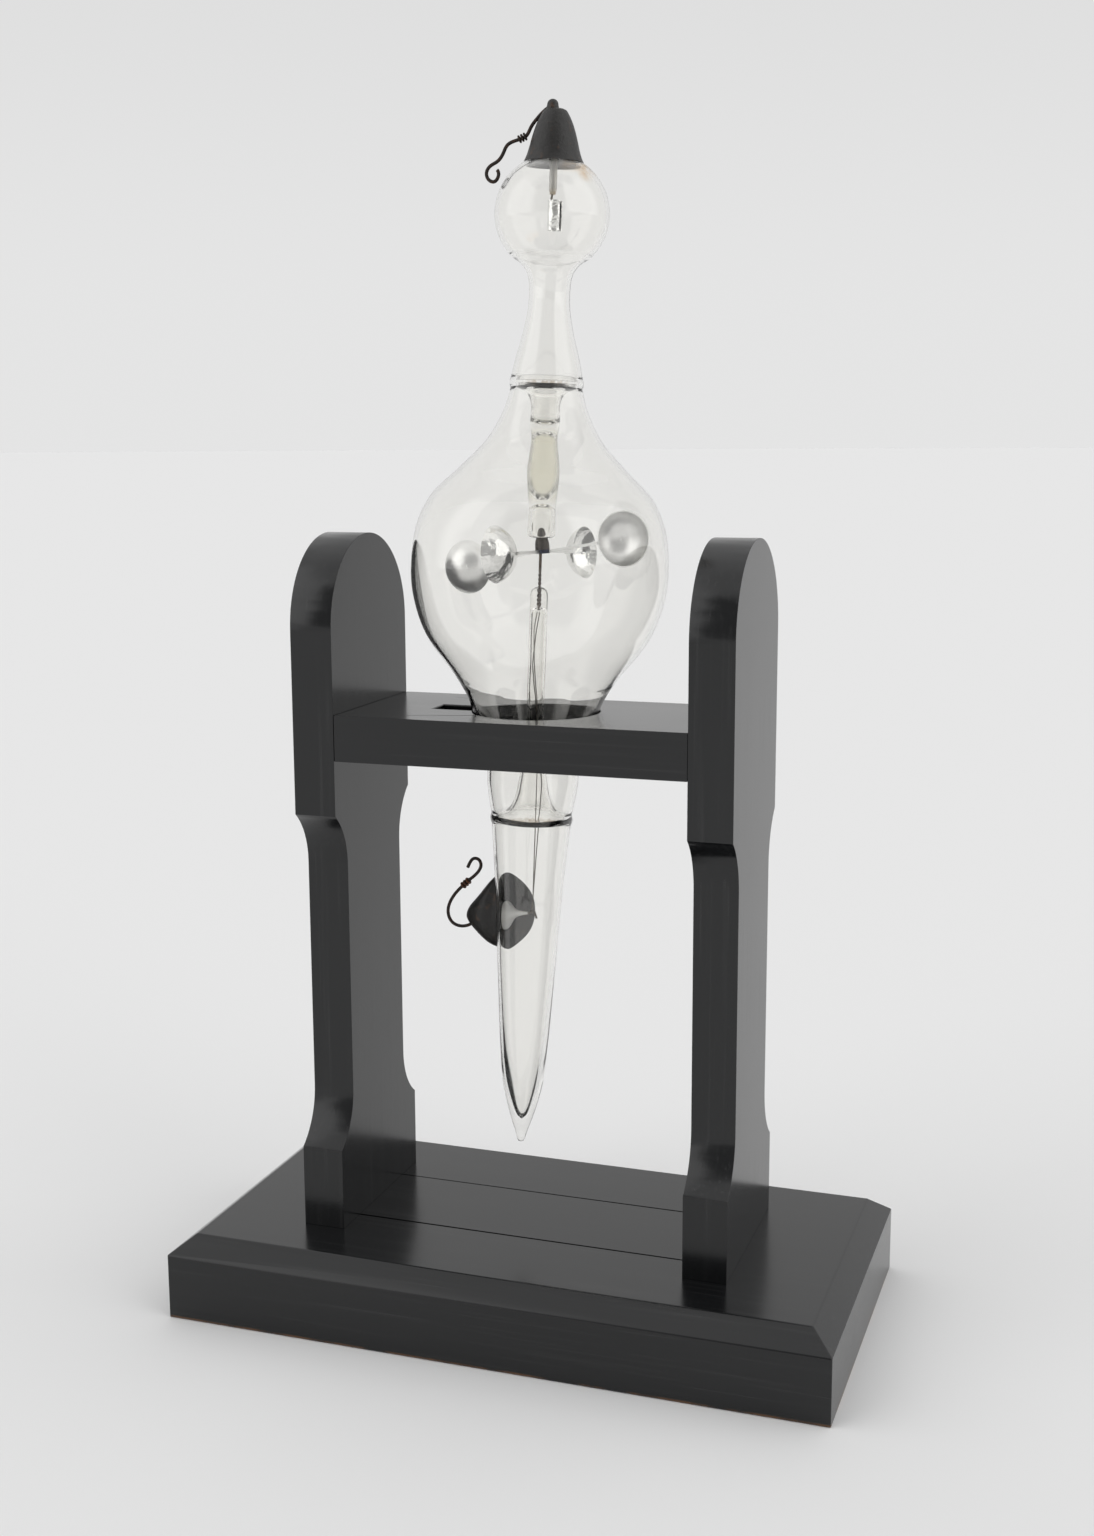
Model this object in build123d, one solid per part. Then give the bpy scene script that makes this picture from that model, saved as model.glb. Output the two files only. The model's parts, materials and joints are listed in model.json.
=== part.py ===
from build123d import *
import os
from math import cos, hypot, radians, sin, sqrt, tan

# Sizes are in millimetres, angles in degrees. X runs along the base, Y to the back and Z up, from
# the centre of the base's underside. Heights in the glass are measured along the vessel's own axis
# from its seat, which is the crossbar's top face.

# Base board
base_length = 203.2
base_width = 104.2
base_edge_height = 20.0
bevel_rise = 5.3
bevel_inset = 6.7
base_top = base_edge_height + bevel_rise

# Uprights
uprights_apart = 107.0
board_thickness = 13.1
foot_width = 56.6
foot_height = 25.1
waist_width = 38.8
head_width = 54.4
head_bottom = 128.8
upright_height = 210.9
cove_radius = 20.0

# Crossbar
bar_thickness = 13.7
bar_top = base_top + 159.1
tenon_length = 6.0
tenon_width = 36.0
tenon_thickness = 6.5
glue_gap = 0.1
hole_diameter = 38.1
slot_width = 9.4
slot_reach = 31.1
slot_offset = -0.7

# Wood screws under the uprights
screw_length = 36.0
screw_shank_radius = 2.1
screw_head_radius = 4.0
screw_head_depth = 2.6
screw_point_length = 6.0
screw_slot_width = 0.9
screw_slot_depth = 1.1
screw_recess = 0.5
screw_clearance = 0.1
screws_apart = 30.0

# Glass vessel, leaning in its seat
vessel_lean = 2.35
seat_gap = 0.28
flank_slope = 0.38
glass_wall = 1.1
fuse_gap = 0.05
ring_height = 2.8
lower_ring_at = -32.7
lower_ring_radius = 13.0
upper_ring_at = 95.1
upper_ring_radius = 10.7
bulb_radius = 37.6
bulb_radius_at = 43.0
throat_radius = 13.6
neck_radius = 5.9
globe_radius = 16.3
globe_at = 141.9
tail_tip_at = -135.6
tail_hollow_end = -127.2

# Inner glass tubes
stem_radius = 2.6
stem_wall = 0.8
stem_top_at = 36.8
stem_solid = 5.8
flare_wall = 1.0
guard_tube_radius = 4.2
guard_wall = 0.8
guard_mouth_at = 51.6
guard_mouth_radius = 3.95
guard_mouth_bore = 2.7
guard_closed_from = 61.4
guard_closed_to = 80.0
top_stem_radius = 1.1
top_stem_end_at = 147.2
top_stem_top_at = 161.2
top_lead_top_at = 162.4

# Needle, twisted pair and leads
needle_radius = 0.42
needle_tip_radius = 0.1
needle_taper = 6.0
needle_foot_at = 41.0
needle_tip_at = 52.8
strand_radius = 0.24
strand_turn = 2.4
lead_radius = 0.16
pin_radius = 0.3

# Mill
pivot_clearance = 0.2
cap_height = 6.2
cap_radius = 2.1
cap_over_tip = 1.0
cap_mouth_radius = 1.4
collar_radius = 2.2
collar_thickness = 1.1
arm_radius = 26.4
strip_height = 0.9
strip_thickness = 0.25
cup_radius = 8.0
cup_depth = 5.5
cup_wall = 0.3
cup_gap = 0.08
tab_inset = 3.0
mill_tilt = 3.5
first_arm_azimuth = -10.2
arm_rises = [6.3, -4.6, -8.9, 2.2]

# Wax, terminals and electrodes
wire_radius = 0.5
wrap_wire_radius = 0.3
wrap_turns = 3
lower_wire_azimuth = 176.0
bead_azimuth = 166.0
seal_dip = 11.5
lower_seal_at = -62.0
lower_wax_azimuth = 154.0
lower_wax_at = -63.2
lower_wax_half_height = 12.4
lower_wax_half_width = 7.2
bead_radius = 4.9
top_wire_azimuth = 190.0
top_wax_radius = 9.4
top_wax_top_at = 170.2
knob_radius = 1.6
knob_offset = 0.8
knob_top_at = 172.9
electrode_height = 8.2
electrode_radius = 2.1
electrode_sheet = 0.25
electrode_opening = 70.0

seat_radius = hole_diameter / 2 - seat_gap
seat_shift = -seat_radius * tan(radians(vessel_lean)) * flank_slope
seal_place = Location((0, 0, lower_seal_at)) * Rot(0, 0, bead_azimuth) * Rot(0, seal_dip, 0)
vessel_place = Location((seat_shift, 0, bar_top), (0, vessel_lean, 0))
lower_ring_bottom = lower_ring_at - ring_height / 2
lower_ring_top = lower_ring_at + ring_height / 2
upper_ring_bottom = upper_ring_at - ring_height / 2
upper_ring_top = upper_ring_at + ring_height / 2
upright_middle = (uprights_apart + board_thickness) / 2


# Outlines and small helpers


on_end = (Align.CENTER, Align.CENTER, Align.MIN)


def at(azimuth, reach, height):
    """Point at a distance from the vessel's axis, in the direction of the azimuth."""
    return (reach * cos(radians(azimuth)), reach * sin(radians(azimuth)), height)


def through(stations):
    """Smooth edge in the XZ plane through stations of (radius, height)."""
    return Spline([(radius, 0, height) for radius, height in stations])


def straight(*stations):
    """Straight edges in the XZ plane from station to station."""
    return Polyline([(radius, 0, height) for radius, height in stations])


def turned(*edges):
    """Solid turned about the vessel's axis from edges that close an outline."""
    return revolve(make_face(Curve() + list(edges)), Axis.Z)


def inward(stations, wall):
    """Stations of the inner face, one wall inside the outer one, with square-cut ends."""
    padded = [stations[0]] + stations + [stations[-1]]
    inner = []
    for before, here, after in zip(padded, stations, padded[2:]):
        d_radius = after[0] - before[0]
        d_height = after[1] - before[1]
        step = wall / hypot(d_radius, d_height)
        inner.append((here[0] - d_height * step, here[1] + d_radius * step))
    inner[0] = (stations[0][0] - wall, stations[0][1])
    inner[-1] = (stations[-1][0] - wall, stations[-1][1])
    return inner


def tube_wall(stations, wall):
    """Blown wall with the given outer stations, from the bottom up."""
    inner = inward(stations, wall)
    return turned(
        through(stations),
        through(inner),
        straight(stations[0], inner[0]),
        straight(stations[-1], inner[-1]),
    )


def round_wire(path, radius):
    """Round wire along a path."""
    section = Plane(origin=path @ 0, z_dir=path % 0) * Circle(radius)
    return sweep(section, path)


def terminal(azimuth, stations, radius=wire_radius):
    """Wire curved in an upright plane through the vessel's axis."""
    return round_wire(Spline([at(azimuth, reach, height) for reach, height in stations]), radius)


def wrap_round(azimuth, start, end, radius):
    """Binding turns side by side along a wire from start to end, both (reach, height)."""
    first = Vector(*at(azimuth, *start))
    along = Vector(*at(azimuth, *end)) - first
    turn_radius = radius + fuse_gap + wrap_wire_radius
    turns = []
    for turn in range(wrap_turns):
        middle = first + along * ((turn + 0.5) / wrap_turns)
        turns.append(Plane(origin=middle, z_dir=along) * Torus(turn_radius, wrap_wire_radius))
    return Compound(children=turns)


# Stand


def wood_screw(extra=0.0):
    """Slotted countersunk screw, head down, or the hole for it when extra is its clearance."""
    head = screw_head_radius + extra
    shank = screw_shank_radius + extra
    body = turned(
        straight(
            (0, 0),
            (head, 0),
            (shank, screw_head_depth),
            (shank, screw_length - screw_point_length),
            (0, screw_length + extra),
            (0, 0),
        )
    )
    if extra:
        mouth = Pos(0, 0, -screw_recess) * Cylinder(head, screw_recess, align=on_end)
        return body + mouth
    slot = Box(3 * head, screw_slot_width, 2 * screw_slot_depth)
    return body - slot


def screw_places():
    """Places of the screws, two under each upright."""
    places = []
    for x in (-upright_middle, upright_middle):
        for y in (-screws_apart / 2, screws_apart / 2):
            places.append(Pos(x, y, screw_recess))
    return places


def base_screws():
    return Compound(children=[place * wood_screw() for place in screw_places()])


def base_board():
    edge = Pos(0, 0, base_edge_height / 2) * Box(base_length, base_width, base_edge_height)
    bevel_foot = Pos(0, 0, base_edge_height) * Rectangle(base_length, base_width)
    bevel_top = Pos(0, 0, base_top) * Rectangle(base_length - 2 * bevel_inset, base_width - 2 * bevel_inset)
    board = edge + loft([bevel_foot, bevel_top])
    for place in screw_places():
        board -= place * wood_screw(screw_clearance)
    return board


def cove_rise(wide):
    """Height of the cove between the waist and a wider part."""
    inset = (wide - waist_width) / 2
    return sqrt(cove_radius**2 - (cove_radius - inset) ** 2)


def upright_outline():
    """Side outline in local (y, z), from the foot over the round head and back."""
    foot, waist, head = foot_width / 2, waist_width / 2, head_width / 2
    foot_top = base_top + foot_height
    head_from = base_top + head_bottom
    waist_from = foot_top + cove_rise(foot_width)
    waist_to = head_from - cove_rise(head_width)
    spring = base_top + upright_height - head
    side = Polyline((foot, base_top), (foot, foot_top))
    side += TangentArc((waist, waist_from), (foot, foot_top), tangent=(0, -1))
    side += Line((waist, waist_from), (waist, waist_to))
    side += TangentArc((waist, waist_to), (head, head_from), tangent=(0, 1))
    side += Line((head, head_from), (head, spring))
    crown = RadiusArc((head, spring), (-head, spring), -head)
    sole = Line((-foot, base_top), (foot, base_top))
    return make_face(side + crown + mirror(side, Plane.YZ) + sole)


def upright(side):
    """Upright on the left (side -1) or the right (side 1), with its mortise and screw holes."""
    near = side * uprights_apart / 2
    left_face = near if side > 0 else near - board_thickness
    board = extrude(Plane.YZ.offset(left_face) * upright_outline(), board_thickness)
    mortise = Box(
        2 * (tenon_length + glue_gap), tenon_width + 2 * glue_gap, tenon_thickness + 2 * glue_gap
    )
    board -= Pos(near, 0, bar_top - bar_thickness / 2) * mortise
    for place in screw_places():
        board -= place * wood_screw(screw_clearance)
    return board


def crossbar():
    middle = Pos(0, 0, bar_top - bar_thickness / 2)
    bar = middle * Box(uprights_apart, head_width, bar_thickness)
    bar += middle * Box(uprights_apart + 2 * tenon_length, tenon_width, tenon_thickness)
    bar -= middle * Cylinder(hole_diameter / 2, 2 * bar_thickness)
    slot = Box(slot_reach, slot_width, 2 * bar_thickness, align=(Align.MAX, Align.CENTER, Align.CENTER))
    return bar - middle * Pos(0, slot_offset, 0) * slot


# Glass envelope


bulb_stations = [
    (lower_ring_radius - 0.15, lower_ring_top),
    (throat_radius, -24.0),
    (throat_radius + 0.3, -15.0),
    (seat_radius - 6 * flank_slope, -6.0),
    (seat_radius, 0.0),
    (seat_radius + 4 * flank_slope, 4.0),
    (seat_radius + 5.4, 10.3),
    (bulb_radius - 4.6, bulb_radius_at - 20.6),
    (bulb_radius - 0.7, bulb_radius_at - 9.0),
    (bulb_radius, bulb_radius_at),
    (bulb_radius - 1.3, bulb_radius_at + 11.0),
    (bulb_radius - 5.3, bulb_radius_at + 19.7),
    (bulb_radius - 13.1, bulb_radius_at + 27.6),
    (upper_ring_radius + 6.0, upper_ring_at - 16.1),
    (upper_ring_radius + 1.3, upper_ring_at - 7.3),
    (upper_ring_radius - 0.4, upper_ring_bottom),
]

tail_stations = [
    (0.9, tail_tip_at + 0.5),
    (3.1, tail_tip_at + 7.1),
    (6.1, tail_tip_at + 18.6),
    (7.2, tail_tip_at + 29.5),
    (8.65, -82.4),
    (10.4, -52.3),
    (lower_ring_radius - 0.5, lower_ring_bottom),
]

tail_hollow = [
    (0.9, tail_hollow_end + 1.2),
    (3.3, tail_hollow_end + 9.2),
    (5.2, tail_hollow_end + 19.0),
    (8.65 - glass_wall, -82.4),
    (10.4 - glass_wall, -52.3),
    (lower_ring_radius - 0.5 - glass_wall, lower_ring_bottom),
]

neck_stations = [
    (upper_ring_radius - 0.4, upper_ring_top),
    (neck_radius + 3.3, upper_ring_at + 6.6),
    (neck_radius + 1.2, upper_ring_at + 14.6),
    (neck_radius, upper_ring_at + 22.0),
    (neck_radius + 0.1, globe_at - 18.7),
]


def main_bulb():
    return tube_wall(bulb_stations, glass_wall)


def tail_solid(extra=0.0):
    """Tail with no hollow, or its outer face moved out by a small gap."""
    outer = [(radius + extra, height) for radius, height in tail_stations]
    top = outer[-1][1]
    nib = outer[0]
    return turned(through(outer), straight(outer[-1], (0, top), (0, tail_tip_at), nib))


def tail_space(extra=0.0):
    """Hollow of the tail, or a smaller body inside it when extra is a gap."""
    inner = [(radius - extra, height) for radius, height in tail_hollow]
    top = inner[-1][1]
    return turned(through(inner), straight(inner[-1], (0, top), (0, tail_hollow_end), inner[0]))


def tail_tube():
    return tail_solid() - tail_space() - pin_rod(pin_radius + fuse_gap)


def globe_point(radius, height):
    """Station on a globe of the given radius at a height."""
    return (sqrt(radius**2 - (height - globe_at) ** 2), height)


def globe_outline(shrink, rod):
    """Neck and globe edges, moved in by shrink, up to the rod that is sealed in at the pole."""
    radius = globe_radius - shrink
    join = globe_point(radius, globe_at - 12.0)
    pole = (rod, globe_at + sqrt(radius**2 - rod**2))
    neck = [(r - shrink, h) for r, h in neck_stations] + [join]
    side = (radius, globe_at)
    edges = [
        Spline(
            [(r, 0, h) for r, h in neck],
            tangents=[(-0.12, 0, 1), (globe_at - join[1], 0, join[0])],
        ),
        ThreePointArc((join[0], 0, join[1]), (side[0], 0, side[1]), (pole[0], 0, pole[1])),
    ]
    return edges, neck[0], pole


def top_bulb():
    rod = top_stem_radius + fuse_gap
    outer, outer_foot, outer_pole = globe_outline(0.0, rod)
    inner, inner_foot, inner_pole = globe_outline(glass_wall, rod)
    return turned(*outer, *inner, straight(outer_foot, inner_foot), straight(outer_pole, inner_pole))


def seal_ring(middle, radius, bore):
    """Rounded band of fused glass between two tube ends."""
    low, high = middle - ring_height / 2, middle + ring_height / 2
    belly = ThreePointArc(
        (radius - 0.4, 0, low), (radius, 0, middle), (radius - 0.4, 0, high)
    )
    return turned(belly, straight((radius - 0.4, high), (bore, high), (bore, low), (radius - 0.4, low)))


lower_ring_bore = lower_ring_radius - 2.0
upper_ring_bore = upper_ring_radius - 1.8


def lower_stem():
    """Inner tube with a domed solid end, flared out to the lower ring."""
    lip = (lower_ring_bore - fuse_gap, lower_ring_at + 0.8)
    shaft_top = stem_top_at - stem_radius
    solid_from = stem_top_at - stem_solid
    outer = [
        lip,
        (7.0, lower_ring_at + 3.0),
        (5.2, lower_ring_at + 6.7),
        (4.2, lower_ring_at + 12.0),
        (stem_radius + 0.2, lower_ring_at + 22.0),
        (stem_radius, lower_ring_at + 34.0),
        (stem_radius, shaft_top),
    ]
    bore = stem_radius - stem_wall
    inner = [
        (lip[0], lip[1] - flare_wall),
        (6.6, lower_ring_at + 1.9),
        (4.3, lower_ring_at + 6.2),
        (3.3, lower_ring_at + 12.0),
        (bore + 0.2, lower_ring_at + 22.0),
        (bore, lower_ring_at + 34.0),
        (bore, solid_from - bore),
    ]
    glass = turned(
        through(outer),
        ThreePointArc(
            (stem_radius, 0, shaft_top),
            (stem_radius * sin(radians(45)), 0, shaft_top + stem_radius * cos(radians(45))),
            (0, 0, stem_top_at),
        ),
        straight((0, stem_top_at), (0, solid_from)),
        ThreePointArc(
            (0, 0, solid_from),
            (bore * sin(radians(45)), 0, solid_from - bore + bore * cos(radians(45))),
            (bore, 0, solid_from - bore),
        ),
        through(inner),
        straight(inner[0], lip),
    )
    twist_bore = Pos(0, 0, stem_top_at - stem_solid) * Cylinder(2 * strand_radius + fuse_gap, 3 * stem_solid)
    return glass - twist_bore


def guard_tube():
    """Inner tube above the mill: flared to the upper ring, closed in the middle, open below."""
    lip = (upper_ring_bore - fuse_gap, upper_ring_at - 0.8)
    outer = [
        (guard_mouth_radius, guard_mouth_at),
        (guard_mouth_radius, guard_closed_from - 1.4),
        (guard_mouth_radius + 0.75, 69.2),
        (guard_mouth_radius - 0.2, 79.2),
        (guard_tube_radius + 0.1, 83.6),
        (guard_tube_radius, 89.0),
        (guard_tube_radius + 1.2, 91.8),
        lip,
    ]
    glass = turned(
        through(outer),
        straight(
            lip,
            (lip[0], lip[1] + flare_wall),
            (guard_tube_radius + 0.8, upper_ring_at - 1.6),
            (guard_tube_radius - guard_wall, 89.5),
            (guard_tube_radius - guard_wall, 84.6),
            (0, 83.0),
            (0, guard_closed_from),
            (guard_mouth_bore - 0.6, guard_closed_from - 1.0),
            (guard_mouth_bore, guard_closed_from - 2.4),
            (guard_mouth_bore, guard_mouth_at),
            outer[0],
        ),
    )
    chamber = turned(
        straight((1.0, guard_closed_to + 1.6), (0, guard_closed_to + 1.6), (0, guard_closed_from + 1.0)),
        straight((0, guard_closed_from + 1.0), (0.9, guard_closed_from + 1.0)),
        through([
            (0.9, guard_closed_from + 1.0),
            (guard_mouth_radius - 1.1, guard_closed_from + 3.2),
            (guard_mouth_radius + 0.6 - guard_wall, 67.6),
            (guard_mouth_radius + 0.6 - guard_wall, 71.0),
            (guard_mouth_radius + 0.1 - guard_wall, 76.0),
            (guard_mouth_radius - 0.4 - guard_wall, guard_closed_to),
            (1.0, guard_closed_to + 1.6),
        ]),
    )
    return glass - chamber


# Needle and leads


def needle():
    """Steel point that stands on the twisted pair and carries the mill."""
    taper_from = needle_tip_at - needle_taper
    return turned(
        straight(
            (0, needle_foot_at),
            (needle_radius, needle_foot_at),
            (needle_radius, taper_from),
            (needle_tip_radius, needle_tip_at),
            (0, needle_tip_at),
            (0, needle_foot_at),
        )
    )


def needle_twist():
    """Two strands twisted together from the stem's hollow up to the needle's foot."""
    foot = stem_top_at - stem_solid - 0.6
    height = needle_foot_at - foot
    strands = []
    for start in (0, 180):
        helix = Pos(0, 0, foot) * Rot(0, 0, start) * Helix(strand_turn, height, strand_radius + 0.01)
        section = Plane(origin=helix @ 0, z_dir=helix % 0) * Circle(strand_radius)
        strands.append(sweep(section, helix, is_frenet=True))
    return Compound(children=strands)


def seal_pin():
    """Wire through the tail's wall, with a hook at its inner end and its outer end in the wax."""
    path = FilletPolyline((13.0, 0, 0), (-0.3, 0, 0), (-2.1, 0, 0.9), (-2.6, 0, -1.8), radius=[1.2, 0.6])
    return seal_place * round_wire(path, pin_radius)


def pin_rod(radius):
    """Straight rod along the seal pin, to cut its way through glass, enamel and wax."""
    return seal_place * round_wire(Line((-0.2, 0, 0), (13.0 + fuse_gap, 0, 0)), radius)


def lead_wire():
    """Fine wire, doubled: down one side of the stem, through the pin's hook and up again."""
    top = stem_top_at - stem_solid - 1.4
    side = pin_radius + lead_radius + 2 * fuse_gap
    pin = (seal_place * Pos(-1.3, 0, 0.5)).position
    points = [
        (-0.45, 0.0, top),
        (-1.35, 0.1, 24.0),
        (-1.0, 0.2, 15.0),
        (0.4, 0.1, 3.0),
        (1.1, 0.3, -20.0),
        (pin.X, pin.Y + side, pin.Z + 3.0),
        (pin.X, pin.Y + side, pin.Z - side),
        (pin.X, pin.Y - side, pin.Z - side),
        (pin.X + 0.3, pin.Y - side, pin.Z + 3.0),
        (2.6, 0.6, -22.0),
        (0.2, -0.5, 3.0),
        (-1.2, -0.5, 14.0),
        (-0.3, -0.6, 24.0),
        (0.35, 0.0, top),
    ]
    bends = [6.0, 6.0, 12.0, 12.0, 4.0, 0.5, 0.5, 4.0, 12.0, 12.0, 6.0, 6.0]
    return round_wire(FilletPolyline(*points, radius=bends), lead_radius)


# Lower terminal


def enamel_bead():
    """White enamel cone on the tail's inner wall, drawn out along the pin."""
    outline = make_face(
        Curve()
        + [
            Spline([(0.2, 0.4), (2.5, 0.7), (4.6, 1.2), (7.4, 3.2), (9.2, bead_radius)]),
            Polyline([(9.2, bead_radius), (11.0, bead_radius), (11.0, 0), (0.2, 0), (0.2, 0.4)]),
        ]
    )
    cone = seal_place * revolve(outline, Axis.X)
    return (cone & tail_space(fuse_gap)) - pin_rod(pin_radius + fuse_gap)


def wax_section(azimuth, reach, height, half_width, half_height):
    """Upright oval across the wax lump, at a distance from the vessel's axis."""
    plane = Plane(
        origin=at(azimuth, reach, height),
        x_dir=at(azimuth + 90, 1.0, 0.0),
        z_dir=at(azimuth, 1.0, 0.0),
    )
    return plane * Ellipse(half_width, half_height)


def lower_wax():
    """Lump of black wax over the seal pin, a blunt cone leaning towards the hook slot."""
    width, height = lower_wax_half_width, lower_wax_half_height
    lump = loft([
        wax_section(lower_wax_azimuth, 4.0, lower_wax_at, width, height),
        wax_section(lower_wax_azimuth, 9.3, lower_wax_at, width - 0.3, height - 0.2),
        wax_section(165.0, 12.2, lower_wax_at - 0.3, width - 1.2, height - 1.5),
        wax_section(173.0, 15.6, lower_wax_at - 1.2, 4.3, 7.2),
        wax_section(lower_wire_azimuth, 18.4, lower_wax_at - 1.7, 2.5, 3.9),
        wax_section(lower_wire_azimuth, 20.2, lower_wax_at - 2.1, 1.0, 1.4),
    ])
    lump -= tail_solid(fuse_gap)
    lump -= pin_rod(pin_radius + fuse_gap)
    return lump - lower_terminal_wire(wire_radius + fuse_gap)


def lower_terminal_wire(radius=wire_radius):
    """Iron wire from the wax, out and up to the binding."""
    stations = [
        (14.6, -65.2),
        (18.5, -67.9),
        (21.5, -69.3),
        (25.6, -68.5),
        (27.0, -65.4),
        (26.1, -61.7),
        (23.0, -57.4),
        (21.4, -55.8),
    ]
    return terminal(lower_wire_azimuth, stations, radius)


def lower_hook():
    """Open hook that takes the supply wire."""
    stations = [
        (21.3, -55.6),
        (18.9, -53.4),
        (16.9, -51.1),
        (16.3, -49.2),
        (17.1, -47.7),
        (18.8, -47.6),
        (19.9, -48.8),
        (20.7, -50.6),
    ]
    return terminal(lower_wire_azimuth, stations)


def lower_wire_wrap():
    return wrap_round(lower_wire_azimuth, (22.4, -56.8), (20.0, -54.4), wire_radius)


# Top terminal


def top_lead_wire():
    """Wire from the electrode up through the glass rod into the wax."""
    stations = [
        (-0.6, 138.5),
        (-0.5, 144.5),
        (0.0, top_stem_end_at + 1.0),
        (0.0, top_lead_top_at),
    ]
    path = Polyline([(reach, 0, height) for reach, height in stations])
    section = Plane(origin=path @ 0, z_dir=path % 0) * Circle(pin_radius)
    return sweep(section, path, transition=Transition.ROUND)


def top_glass_stem():
    """Glass rod sealed through the globe's pole, with the lead in its bore."""
    bore = pin_radius + fuse_gap
    rod = turned(
        straight(
            (bore, top_stem_end_at + 1.0),
            (top_stem_radius - 0.3, top_stem_end_at),
            (top_stem_radius, top_stem_end_at + 1.4),
            (top_stem_radius, top_stem_top_at),
            (bore, top_stem_top_at),
            (bore, top_stem_end_at + 1.0),
        )
    )
    return rod


def top_electrode():
    """Aluminium sheet rolled into an open tube round the end of the lead."""
    half_open = electrode_opening / 2
    outer = electrode_radius
    inner = electrode_radius - electrode_sheet
    roll = Circle(outer) - Circle(inner)
    gap = make_face(Polyline([
        (0, 0), (3 * outer * cos(radians(half_open)), 3 * outer * sin(radians(half_open))),
        (3 * outer * cos(radians(half_open)), -3 * outer * sin(radians(half_open))), (0, 0),
    ]))
    sheet = extrude(roll - gap, electrode_height)
    reach = electrode_radius - electrode_sheet - pin_radius - fuse_gap
    return Pos(reach - 0.6, 0, 137.4) * sheet


def top_wax():
    """Black wax cap over the globe's pole, with a knob where the terminal leaves."""
    cap = turned(
        through([
            (top_wax_radius, globe_at + 12.6),
            (top_wax_radius - 1.3, globe_at + 14.7),
            (top_wax_radius - 2.8, globe_at + 19.6),
            (top_wax_radius - 4.4, globe_at + 24.6),
            (top_wax_radius - 6.2, top_wax_top_at - 0.4),
        ]),
        straight(
            (top_wax_radius - 6.2, top_wax_top_at - 0.4),
            (top_wax_radius - 7.0, top_wax_top_at),
            (0, top_wax_top_at),
            (0, globe_at + 12.6),
            (top_wax_radius, globe_at + 12.6),
        ),
    )
    knob_x, knob_y, _ = at(top_wire_azimuth, knob_offset, 0)
    knob_foot = knob_top_at - knob_radius - 3.6
    cone = Cone(knob_radius + 0.9, knob_radius, 3.6, align=on_end)
    cap += Pos(knob_x, knob_y, knob_foot) * cone
    cap += Pos(knob_x, knob_y, knob_foot + 3.6) * Sphere(knob_radius)
    cap -= Pos(0, 0, globe_at) * Sphere(globe_radius + fuse_gap)
    cap -= Cylinder(top_stem_radius + fuse_gap, top_stem_top_at + fuse_gap, align=on_end)
    cap -= Cylinder(pin_radius + fuse_gap, top_lead_top_at + fuse_gap, align=on_end)
    return cap - top_terminal_wire(wire_radius + fuse_gap)


def top_terminal_wire(radius=wire_radius):
    """Iron wire from the knob down to the binding."""
    stations = [(0.8, 171.2), (3.1, 169.7), (5.0, 167.7), (6.9, 165.0), (7.8, 163.2), (8.9, 162.3)]
    return terminal(top_wire_azimuth, stations, radius)


def top_hook():
    """Closed loop that takes the supply wire."""
    stations = [
        (9.1, 162.2),
        (11.3, 161.5),
        (13.3, 160.4),
        (14.5, 158.1),
        (16.1, 155.9),
        (18.1, 154.6),
        (19.1, 152.9),
        (18.4, 150.9),
        (16.9, 150.4),
        (15.8, 151.6),
        (16.1, 153.6),
    ]
    return terminal(top_wire_azimuth, stations)


def top_wire_wrap():
    return wrap_round(top_wire_azimuth, (8.0, 162.9), (10.3, 161.8), wire_radius)


# Mill, built level with the needle's tip at its origin


def pivot_cap():
    """Bullet-shaped cap, hollow below, that rides on the needle's tip."""
    mouth = cap_over_tip - cap_height
    shell = Spline(
        [
            (cap_radius, 0, mouth),
            (cap_radius - 0.15, 0, mouth + 2.4),
            (cap_radius - 0.9, 0, mouth + 4.8),
            (0, 0, cap_over_tip),
        ],
        tangents=[(0, 0, 1), (-1, 0, 0)],
    )
    hollow = straight(
        (0, cap_over_tip),
        (0, pivot_clearance),
        (0.4, pivot_clearance - 0.2),
        (cap_mouth_radius, mouth),
        (cap_radius, mouth),
    )
    return turned(shell, hollow)


def hub_collar():
    top = cap_over_tip - cap_height
    ring = Cylinder(collar_radius, collar_thickness) - Cylinder(cap_mouth_radius, 2 * collar_thickness)
    return Pos(0, 0, top - collar_thickness / 2) * ring


def cup():
    """Thin round dish, its rim in the XZ plane and its dome towards +Y."""
    dome_radius = (cup_radius**2 + cup_depth**2) / (2 * cup_depth)
    shell = Sphere(dome_radius) - Sphere(dome_radius - cup_wall)
    dish = Pos(0, cup_depth - dome_radius, 0) * shell
    front = Box(4 * cup_radius, 2 * cup_depth, 4 * cup_radius, align=(Align.CENTER, Align.MIN, Align.CENTER))
    slit = Pos(-tab_inset, cup_depth, 0) * Box(
        strip_thickness + 2 * cup_gap, cup_depth, strip_height + 2 * cup_gap
    )
    return (dish & front) - slit


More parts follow.
